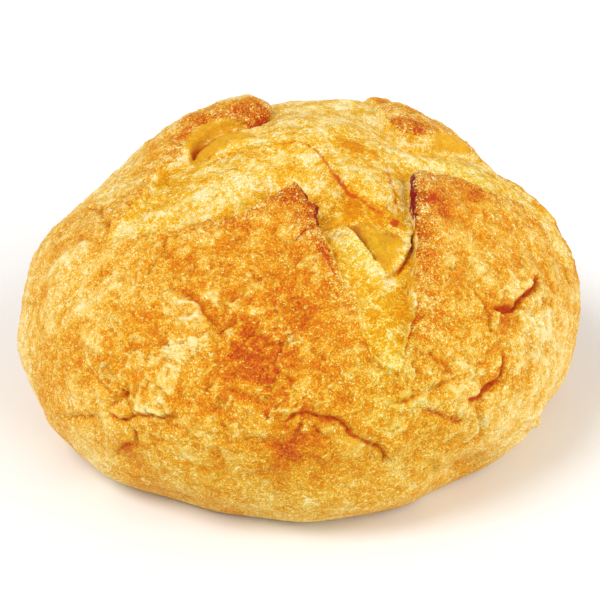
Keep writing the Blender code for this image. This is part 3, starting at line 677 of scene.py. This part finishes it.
def crease(plan, depth, width, dark, points):
    """A groove that fades at both ends, with the crust swollen beside it, more on its left: returns its
    height and how dark each place is, partly browning and partly painted shade, which is below zero on a pale
    flake."""
    line = curve_through(points)
    height, shade = np.zeros(len(plan)), np.zeros(len(plan))
    near = close_to(plan, line, 3 * CREASE_PUFF_WIDTH * width)
    gap, side, _, along, *_ = nearest(plan[near], line)
    fade = tapered(along, CREASE_ENDS)
    groove = fade * np.exp(-((gap / width) ** 2))
    puff = CREASE_PUFF * fade * np.exp(-((gap / (CREASE_PUFF_WIDTH * width)) ** 2))
    height[near] = depth * (puff * (1 + CREASE_TILT * side) - (1 + CREASE_PUFF) * groove)
    shade[near] = dark * fade * np.exp(-((gap / width) ** 2))
    return height, shade


def blister(plan, x, y, half_length, half_width, turn, rim):
    """A dried blister: a raised ring on an ellipse, and a floor a little sunk inside it."""
    cos, sin = math.cos(math.radians(turn)), math.sin(math.radians(turn))
    dx, dy = plan[:, 0] - x, plan[:, 1] - y
    far = np.hypot((cos * dx + sin * dy) / half_length, (cos * dy - sin * dx) / half_width)
    ring = np.exp(-(((far - 1) / BLISTER_RING) ** 2))
    return rim * (ring - BLISTER_FLOOR * (1 - smooth(0.5, 1, far))), ring


def baked(loaf, ball):
    """Points of the finished loaf for points of the unit ball, and the marks that its colours follow."""
    plan, trace = traced(loaf, ball)
    place, _ = loaf.place(plan)
    height, shift, inward, along, lip, bare_face, burnt = cross_cut(trace)
    crumb = smooth(-CRUMB_EDGE, CRUMB_EDGE, bare_face - inward)
    height += bells(plan, SWELLINGS.values())
    for profile, rows in FOLDS.values():
        step, lean = fold(trace, profile, rows)
        height += step
        shift += lean
    seam, ring = np.zeros(len(plan)), np.zeros(len(plan))
    for one in CREASES.values():
        groove, shade = crease(trace, *one)
        height += groove
        seam = np.maximum(seam, shade)
        ring = np.maximum(ring, -shade)
    for scar in BLISTERS.values():
        raised, rim = blister(trace, *scar)
        height += raised
        ring = np.maximum(ring, rim)

    for size, strength, seed in PUFFS:
        height += strength * gradient_noise(place, size, seed)
    puckered = PUCKER_EVERYWHERE + bells(plan, PUCKERED)
    open_face = smooth(*BARE_FACE, bare_face) * smooth(-CUT_WALL, -0.5 * CUT_WALL, inward) * crumb
    bare = np.clip(bells(trace, BARE) + open_face, 0, 1)
    calm = puckered * (1 - CALM_CRUMB * crumb) * (1 - CALM_BARE * bare)
    calm = calm * (1 - CALM_FLANK * smooth(*LOW_FLANK, np.hypot(*plan.T)))
    uneven = sum(strength * pads(place, size, seed, wide) for size, strength, seed, wide in PADS)
    plates, curl = np.zeros(len(plan)), np.zeros(len(plan))
    for size, strength, seed in FLAKES:
        tilt, step = flakes(place, size, seed)
        plates += strength * tilt
        curl = np.maximum(curl, step * smooth(*CURLED, tilt))
    height += calm * (uneven + plates)
    size, strength, seed = GRAIN
    height += strength * gradient_noise(place, size, seed) * (1 - CALM_GRAIN * bare)
    size, strength, seed = STRANDS
    strands = np.stack([along * EDGE_WALK, inward / STRAND_LENGTH, 0 * along], axis=1)
    in_burst = np.where(inward < 0, np.exp(-((inward / STRAND_REACH) ** 2)), 0)
    height += strength * gradient_noise(strands, size, seed) * in_burst

    # the crust's tone: browning, with painted shade in the low places and creases, and painted light and
    # shadow from a few spots of the tables
    toast = TOAST_START - TOAST_RELIEF * calm * (uneven + plates) + bells(trace, TOASTED) - bells(trace, PALE)
    # painted shade in the creases, and paler curled flakes
    toast += TOAST_SEAM * seam - TOAST_SEAM * ring
    toast += TOAST_LIP * lip / FULL_LIP * np.exp(-np.abs(inward - bare_face) / TOAST_LIP_REACH) * (1 - crumb)
    size, strength, seed = TOAST_DRIFT
    toast += strength * gradient_noise(place, size, seed)

    fade = loaf.fade(plan)
    points, normals = loaf.place(plan + shift * fade[:, None])
    points = points + (height * fade)[:, None] * normals - MIDDLE
    marks = {
        "toast": toast,
        "crumb": crumb,
        "bare": bare,
        "seam": seam,
        "burn": burnt * np.exp(-((inward / BURN_REACH) ** 2)),
        "pale": np.maximum(ring, CURL_PALE * calm * curl),
        "ear": np.clip(lip / FULL_LIP, 0, 1) * np.exp(-((inward / EAR_REACH) ** 2)) * (1 - crumb),
        # painted shade: darker crumb and dough where the burst sinks below the plain loaf
        "hollow": np.clip(-height / FULL_HOLLOW, 0, 1) * crumb,
        "olive": np.clip(bells(plan, OLIVE), 0, 1),
    }
    return points * MM, marks


class Wire:
    """An output socket of a node; arithmetic on it adds Math nodes."""

    def __init__(self, surface, socket):
        self.surface = surface
        self.socket = socket

    def math(self, operation, *values):
        return self.surface.add("ShaderNodeMath", {"operation": operation}, dict(enumerate(values)))

    def __add__(self, other):
        return self.math("ADD", self, other)

    def __sub__(self, other):
        return self.math("SUBTRACT", self, other)

    def __rsub__(self, other):
        return self.math("SUBTRACT", other, self)

    def __mul__(self, other):
        return self.math("MULTIPLY", self, other)

    __radd__ = __add__
    __rmul__ = __mul__

    def between(self, low, high):
        """0 below low, 1 above high and an S curve between them."""
        return self.surface.add(
            "ShaderNodeMapRange", {"interpolation_type": "SMOOTHSTEP"}, {0: self, 1: low, 2: high}
        )

    def other(self, output):
        """Another output of the same node."""
        return Wire(self.surface, self.socket.node.outputs[output])


class Surface:
    """A material's nodes: one method adds any node, sets it up and wires its sockets."""

    def __init__(self, name):
        self.material = bpy.data.materials.new(name)
        self.material.use_nodes = True
        self.tree = self.material.node_tree
        self.shader = self.tree.nodes["Principled BSDF"]

    def add(self, kind, settings, sockets, output=0):
        node = self.tree.nodes.new(kind)
        for name, value in settings.items():
            if name == "stops":
                self.set_stops(node.color_ramp, value)
            else:
                setattr(node, name, value)
        for name, value in sockets.items():
            self.feed(node.inputs[name], value)
        return Wire(self, node.outputs[output])

    def set_stops(self, ramp, stops):
        while len(ramp.elements) < len(stops):
            ramp.elements.new(1)
        for element, (place, colour) in zip(ramp.elements, stops):
            element.position = place
            element.color = (*colour, 1)

    def feed(self, socket, value):
        if isinstance(value, Wire):
            self.tree.links.new(value.socket, socket)
        else:
            socket.default_value = value

    def set(self, **sockets):
        for name, value in sockets.items():
            self.feed(self.shader.inputs[name.replace("_", " ")], value)

    def mark(self, name):
        return self.add("ShaderNodeAttribute", {"attribute_name": name}, {}, output="Fac")

    def noise(self, place, size, detail, roughness=0.5, distortion=0.0):
        """Unevenness about zero, with features of the given size."""
        sockets = {"Vector": place, "Scale": 1 / size, "Detail": detail}
        sockets.update({"Roughness": roughness, "Distortion": distortion})
        return self.add("ShaderNodeTexNoise", {}, sockets) - 0.5

    def scales(self, place, size, stir):
        """Thin scales of the given size, stirred by this length: a height that tilts its own way on each
        scale, and how close a place is to the raised edge of its scale."""
        coarse = {"Vector": place, "Scale": 1 / size, "Detail": 1}
        swirl = self.add("ShaderNodeTexNoise", {}, coarse, output="Color")
        stirred = self.vector("MULTIPLY_ADD", swirl, (stir, stir, stir), place)
        sockets = {"Vector": stirred, "Scale": 1 / size}
        way = self.add("ShaderNodeTexVoronoi", {}, sockets, output="Color")
        rim = self.add("ShaderNodeTexVoronoi", {"feature": "DISTANCE_TO_EDGE"}, sockets)
        offset = self.vector("SUBTRACT", stirred, way.other("Position"))
        centred = self.vector("SUBTRACT", way, (0.5, 0.5, 0.5))
        tilt = self.vector("DOT_PRODUCT", centred, offset, output="Value")
        height = tilt * (1 / size)
        return height, (1 - rim.between(0.0, 0.3)) * height.between(0.0, 0.25)

    def vector(self, operation, *values, output="Vector"):
        return self.add("ShaderNodeVectorMath", {"operation": operation}, dict(enumerate(values)), output)

    def ramp(self, value, stops):
        return self.add("ShaderNodeValToRGB", {"stops": stops}, {0: value})

    def mix(self, share, first, second, blend="MIX"):
        settings = {"data_type": "RGBA", "blend_type": blend}
        return self.add("ShaderNodeMix", settings, {0: share, 6: first, 7: second}, output=2)


# Sizes of the crust's colour patterns, in metres.
MOTTLE = 0.0060
SPECKLE = 0.0018
FINE_GRAIN = 0.0006
SCALES = 0.0022
SCALES_STIRRED = 0.0025
WISP_LINES = 0.0070
WISP_PATCHES = 0.0100


def crust_surface(look):
    """Golden crust that browns with its mark (which also carries painted light and shade), yellow crumb in
    the burst and smooth bare dough, both darkened by painted shade where the burst sinks. Pale specks draw a
    place towards the first colour of its ramp: partly the crust's own pale flake edges, partly painted glints
    on the oily grain. Over these come an olive tint, the dark of the creases (partly painted shade, and
    painted shadow along the contact lines) and the burnt panel edges. Speckle and grain are noise in the
    loaf's coordinates."""
    surface = Surface("baked_crust")
    place = surface.add("ShaderNodeTexCoord", {}, {}, output="Object")
    mottle = surface.noise(place, MOTTLE, 3, 0.6)
    speckle = surface.noise(place, SPECKLE, 3, 0.65)
    grain = surface.noise(place, FINE_GRAIN, 2, 0.6, 0.6)
    scale, edge = surface.scales(place, SCALES, SCALES_STIRRED)
    line = surface.noise(place, WISP_LINES, 1, 0.5, 0.8)
    wisp = line.between(-0.035, 0.0) * (1 - line.between(0.0, 0.035))
    wisp = wisp * surface.noise(place, WISP_PATCHES, 2).between(0.0, 0.08)
    toast, bare, crumb, ear = (surface.mark(name) for name in ("toast", "bare", "crumb", "ear"))
    pale, seam, burn, hollow = (surface.mark(name) for name in ("pale", "seam", "burn", "hollow"))

    # painted highlight: the pale specks stand partly for glints on the oily grain and partly for the crust's
    # own pale flake edges
    light = (speckle * 0.9 + grain * 1.6) * (1 + ear * 0.5) + edge * 0.2 + pale * 0.3 + wisp * 0.2
    flecks = (light - toast * 0.12).between(0.11, 0.51) * (1 - seam)
    uneven = mottle * 0.55 + speckle * 0.8 + grain * 1.7 + scale * 0.35
    crust = surface.ramp(
        (toast + 0.02 + uneven * (1 + ear * 1.5)) * (1 - flecks * 0.9),
        [
            (0.00, look.fleck_and_glint[:3]),
            (0.10, look.pale[:3]),
            (0.27, look.straw[:3]),
            (0.45, look.golden[:3]),
            (0.62, look.amber[:3]),
            (0.80, look.toasted[:3]),
            (1.00, look.burnt[:3]),
        ],
    )
    rough = mottle * 1.4 + speckle * 1.4 + grain * 2.1 + scale * 0.4
    # painted shade: the crumb's tone moves towards its deeper stops where the burst sinks
    inner = surface.ramp(
        (toast * 0.8 + hollow * 0.35 + rough) * (1 - flecks * 0.7),
        [
            (0.00, look.fleck_and_glint[:3]),
            (0.10, look.crumb_pale[:3]),
            (0.35, look.crumb[:3]),
            (0.60, look.crumb_deep[:3]),
            (0.85, look.crumb_toasted[:3]),
        ],
    )
    colour = surface.mix((crumb + speckle * 0.8).between(0.35, 0.65), crust, inner)
    # painted shade: the bare dough darkens where the burst sinks, as well as with the crust's tone
    depth = toast + hollow * 0.3 + mottle * 1.0 + speckle * 0.6 + grain * 0.6
    dough = surface.ramp(depth, [(0.35, look.dough[:3]), (1.0, look.dough_browned_and_shaded[:3])])
    colour = surface.mix((bare + speckle * 0.8 + grain * 0.5).between(0.25, 0.95) * 0.96, colour, dough)
    colour = surface.mix(surface.mark("olive"), colour, look.olive, "MULTIPLY")
    # the creases' dark: partly red-brown browning, partly painted shade, and painted shadow along the contact
    # lines
    colour = surface.mix((seam + speckle * 0.7).between(0.40, 1.1) * 0.85, colour, look.seam)
    burning = burn + mottle * 0.8 + speckle * 1.4 + grain * 0.8
    colour = surface.mix(burning.between(0.40, 0.75), colour, look.edge)

    bumps = mottle * 0.0015 + speckle * 0.0012 + grain * 0.0004 + scale * 0.0008 + wisp * 0.0002
    bumps = bumps * (1 - bare * 0.6) * (1 + ear * 0.5)
    normal = surface.add("ShaderNodeBump", {}, {"Height": bumps, "Distance": 1.0, "Strength": 1.0})
    surface.set(Base_Color=colour, Normal=normal, Roughness=look.roughness, Specular_IOR_Level=0.08)
    return surface.material


def plain_surface(name, colour, roughness):
    surface = Surface(name)
    surface.set(Base_Color=colour, Roughness=roughness)
    return surface.material


def colour_property(name, description, default):
    return bpy.props.FloatVectorProperty(
        name=name, description=description, subtype="COLOR", size=4, min=0, max=1, default=(*default, 1)
    )


def number_property(name, description, default, **limits):
    return bpy.props.FloatProperty(name=name, description=description, default=default, **limits)


def length_property(name, description, default):
    return number_property(name, description, default, unit="LENGTH", min=0.001)


class LoafForm(bpy.types.PropertyGroup):
    """Sizes of the plain loaf, before it is cut and puffed."""

    width: length_property("Width", "Width of the plain loaf", 0.189)
    depth: length_property("Depth", "Depth of the plain loaf from front to back", 0.173)
    height: length_property("Height", "Height of the plain loaf", 0.0925)
    widest_at: length_property("Widest at", "Height at which the loaf is widest", 0.034)
    sole_share: number_property("Sole share", "The sole's share of the width", 0.75, min=0.3, max=0.95)
    shoulder: number_property("Shoulder", "Below 1 the dome has fuller shoulders", 0.95, min=0.5, max=2)


class CrustLook(bpy.types.PropertyGroup):
    """Colours of the crust from raw to burnt, and of the crumb in the burst."""

    pale: colour_property("Pale", "Crust that hardly browned", (0.97, 0.78, 0.32))
    straw: colour_property("Straw", "Lightly baked crust", (0.89, 0.56, 0.085))
    golden: colour_property("Golden", "Well baked crust", (0.80, 0.37, 0.011))
    amber: colour_property("Amber", "Deeply baked crust", (0.72, 0.235, 0.007))
    toasted: colour_property("Toasted", "Toasted crust", (0.67, 0.145, 0.010))
    burnt: colour_property("Burnt", "Crust at its darkest", (0.50, 0.055, 0.010))
    crumb_pale: colour_property("Pale crumb", "Crumb on the crests of the burst", (0.95, 0.79, 0.32))
    crumb: colour_property("Crumb", "Crumb in the burst", (0.89, 0.56, 0.042))
    # the deeper crumb colours are reached partly through painted shade where the burst sinks
    crumb_deep: colour_property("Deep crumb", "Crumb in the folds of the burst", (0.80, 0.37, 0.004))
    crumb_toasted: colour_property("Toasted crumb", "Crumb that browned", (0.74, 0.25, 0.008))
    # partly the crust's own pale flake edges, partly painted glints on the oily grain
    fleck_and_glint: colour_property("Flecks", "Thin pale edges of the flaky crust", (1.0, 0.86, 0.52))
    olive: colour_property("Olive", "What olive places are tinted by", (0.89, 0.97, 0.72))
    dough: colour_property("Bare dough", "Smooth dough where a fold opened", (0.76, 0.40, 0.010))
    # painted shade: the darkest bare dough, reached where the burst sinks and the crust's tone is deep
    dough_browned_and_shaded: colour_property("Deep dough", "Smooth dough in the shade of a fold", (0.50, 0.17, 0.02))
    # partly red-brown browning, partly painted shade at the bottom of the creases
    seam: colour_property("Crease", "Bottom of the creases", (0.60, 0.060, 0.012))
    edge: colour_property("Burnt edge", "Thin edge of a lifted panel", (0.28, 0.012, 0.012))
    roughness: number_property("Roughness", "How dull the crust is", 0.45, min=0, max=1)


class Studio(bpy.types.PropertyGroup):
    """Floor, camera and lights."""

    floor: colour_property("Floor", "Colour of the floor", (0.89, 0.91, 0.95))
    floor_size: length_property("Floor size", "Side of the square floor", 6.0)
    elevation: number_property(
        "Elevation", "Camera's angle above the horizon", math.radians(34), subtype="ANGLE"
    )
    distance: length_property("Distance", "From the camera to the point it looks at", 1.0)
    lens: number_property("Lens", "Focal length in millimetres", 178.6, min=10)
    aim: bpy.props.FloatVectorProperty(
        name="Aim", description="The point looked at", subtype="TRANSLATION", default=(0.0003, 0, 0.040)
    )
    ambient_colour: colour_property("Ambient colour", "Colour of the light all round", (1.0, 0.94, 0.84))
    ambient: number_property("Ambient", "Strength of the light all round", 0.53)
    key: number_property("Key", "Strength of the light from the left", 1.50)
    fill: number_property("Fill", "Strength of the light from the right", 1.2)
    rim: number_property("Rim", "Strength of the low light on each side", 0.75)


def shade_mesh(name, points, faces, marks, material):
    """A smooth shaded mesh object, with each mark as an attribute of its points."""
    mesh = bpy.data.meshes.new(name)
    mesh.from_pydata(points, [], faces)
    for mark, values in marks.items():
        attribute = mesh.attributes.new(mark, "FLOAT", "POINT")
        attribute.data.foreach_set("value", values.astype(np.float32))
    mesh.shade_smooth()
    mesh.materials.append(material)
    thing = bpy.data.objects.new(name, mesh)
    bpy.context.scene.collection.objects.link(thing)
    return thing


class BREAD_OT_bake_loaf(bpy.types.Operator):
    """Make the loaf's finely modelled crust in place of its plain solid"""

    bl_idname = "bread.bake_loaf"
    bl_label = "Bake loaf"

    def execute(self, context):
        loaf = PlainLoaf(context.scene.loaf_form)
        ball, faces = gridded_ball(CELLS)
        points, marks = baked(loaf, drawn_to_crown(ball))
        piece = shade_mesh(PIECE, points, faces, marks, crust_surface(context.scene.crust_look))
        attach(piece, "root")
        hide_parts(NODE)
        return {"FINISHED"}


def aimed(thing, place, target):
    """Puts a camera or light at a place, looking at the target."""
    thing.location = place
    thing.rotation_euler = (Vector(target) - Vector(place)).to_track_quat("-Z", "Y").to_euler()
    bpy.context.scene.collection.objects.link(thing)


def soft_sun(name, side, strength, width):
    """A light from far away on one side, as wide as this angle."""
    light = bpy.data.lights.new(name, "SUN")
    light.angle = width
    light.energy = strength
    aimed(bpy.data.objects.new(name, light), side, (0, 0, 0))


# The soft lights: the setting with their strength, where they come from, and their width in degrees.
SUNS = {
    "key": ("key", (-0.50, -0.35, 0.90), 28),
    "fill": ("fill", (0.70, -0.60, 0.60), 50),
    "rim_left": ("rim", (-0.90, 0.10, 0.30), 50),
    "rim_right": ("rim", (0.90, 0.10, 0.30), 50),
}


class BREAD_OT_set_studio(bpy.types.Operator):
    """Make the floor, the soft lights and the camera"""

    bl_idname = "bread.set_studio"
    bl_label = "Set studio"

    def execute(self, context):
        studio = context.scene.studio
        half = studio.floor_size / 2
        corners = [(-half, -half, 0), (half, -half, 0), (half, half, 0), (-half, half, 0)]
        floor = shade_mesh("floor", corners, [(0, 1, 2, 3)], {}, plain_surface("floor", studio.floor, 0.8))

        world = bpy.data.worlds.new("studio")
        world.use_nodes = True
        world.node_tree.nodes["Background"].inputs["Color"].default_value = studio.ambient_colour
        world.node_tree.nodes["Background"].inputs["Strength"].default_value = studio.ambient
        context.scene.world = world
        for name, (setting, side, width) in SUNS.items():
            soft_sun(name, side, getattr(studio, setting), math.radians(width))

        camera = bpy.data.cameras.new("camera")
        camera.lens = studio.lens
        camera.sensor_width = 36
        back = Vector((0, -math.cos(studio.elevation), math.sin(studio.elevation)))
        thing = bpy.data.objects.new("camera", camera)
        aimed(thing, Vector(studio.aim) + studio.distance * back, studio.aim)
        context.scene.camera = thing
        context.scene.view_settings.view_transform = "Standard"
        return {"FINISHED"}


class BREAD_PT_loaf(bpy.types.Panel):
    """Sizes, colours and studio of the loaf"""

    bl_label = "Olive oil bread loaf"
    bl_space_type = "VIEW_3D"
    bl_region_type = "UI"
    bl_category = "Bread"

    def draw(self, context):
        operators = {"loaf_form": None, "crust_look": BREAD_OT_bake_loaf, "studio": BREAD_OT_set_studio}
        for group, operator in operators.items():
            box = self.layout.box()
            settings = getattr(context.scene, group)
            for name in settings.__annotations__:
                box.prop(settings, name)
            if operator:
                box.operator(operator.bl_idname)


CLASSES = (LoafForm, CrustLook, Studio, BREAD_OT_bake_loaf, BREAD_OT_set_studio, BREAD_PT_loaf)


def register():
    for kind in CLASSES:
        bpy.utils.register_class(kind)
    bpy.types.Scene.loaf_form = bpy.props.PointerProperty(type=LoafForm)
    bpy.types.Scene.crust_look = bpy.props.PointerProperty(type=CrustLook)
    bpy.types.Scene.studio = bpy.props.PointerProperty(type=Studio)


def unregister():
    for name in ("loaf_form", "crust_look", "studio"):
        delattr(bpy.types.Scene, name)
    for kind in reversed(CLASSES):
        bpy.utils.unregister_class(kind)


def main():
    register()
    bpy.ops.bread.bake_loaf()
    bpy.ops.bread.set_studio()


if __name__ == "__main__":
    main()
